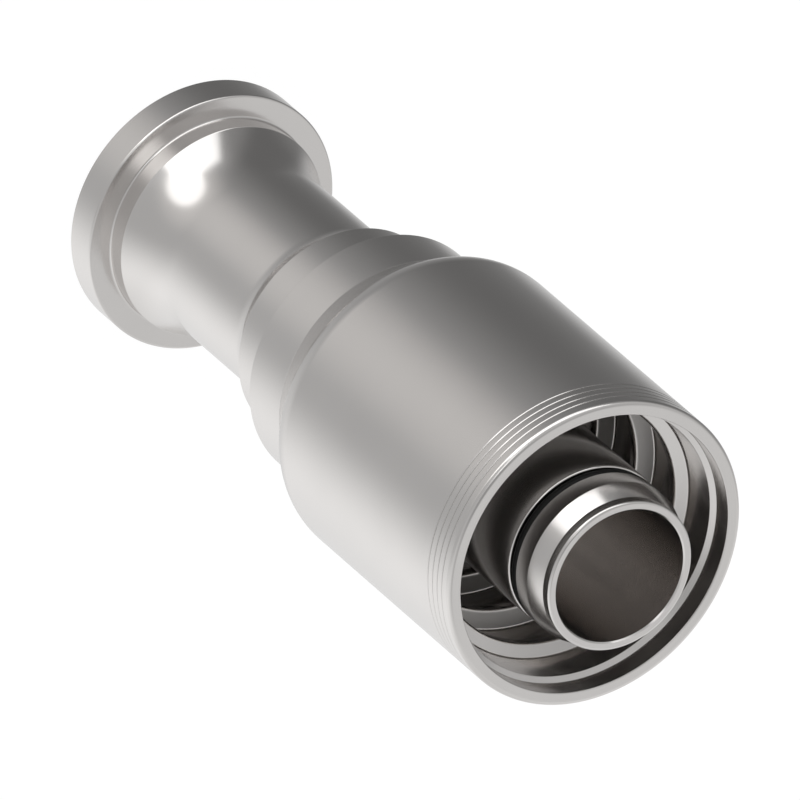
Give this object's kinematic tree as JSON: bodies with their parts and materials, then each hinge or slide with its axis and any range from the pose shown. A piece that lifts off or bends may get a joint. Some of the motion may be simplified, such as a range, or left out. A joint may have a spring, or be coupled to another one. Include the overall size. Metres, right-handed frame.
{
  "type": "straight hydraulic hose fitting with split-flange head",
  "caption": "Straight hydraulic hose end: a turned nipple with a flange head, neck and hose stem, and a toothed crimp shell that grips the hose, with a rubber seal ring.",
  "frame": {"origin": "centre of the sealing face of the flange head, which the part stands on", "axes": "+Z along the axis of the fitting, from the flange head towards the open hose end"},
  "size_m": [0.0716, 0.0716, 0.1816],
  "materials": {
    "nipple_steel": "satin turned, pale zinc-nickel plating",
    "shell_steel": "satin turned, pale zinc-nickel plating",
    "seal_rubber": "matt black nitrile rubber"
  },
  "bodies": {
    "root": {"nipple": "nipple_steel", "crimp_shell": "shell_steel", "stem_seal_ring": "seal_rubber"}
  },
  "joints": []
}
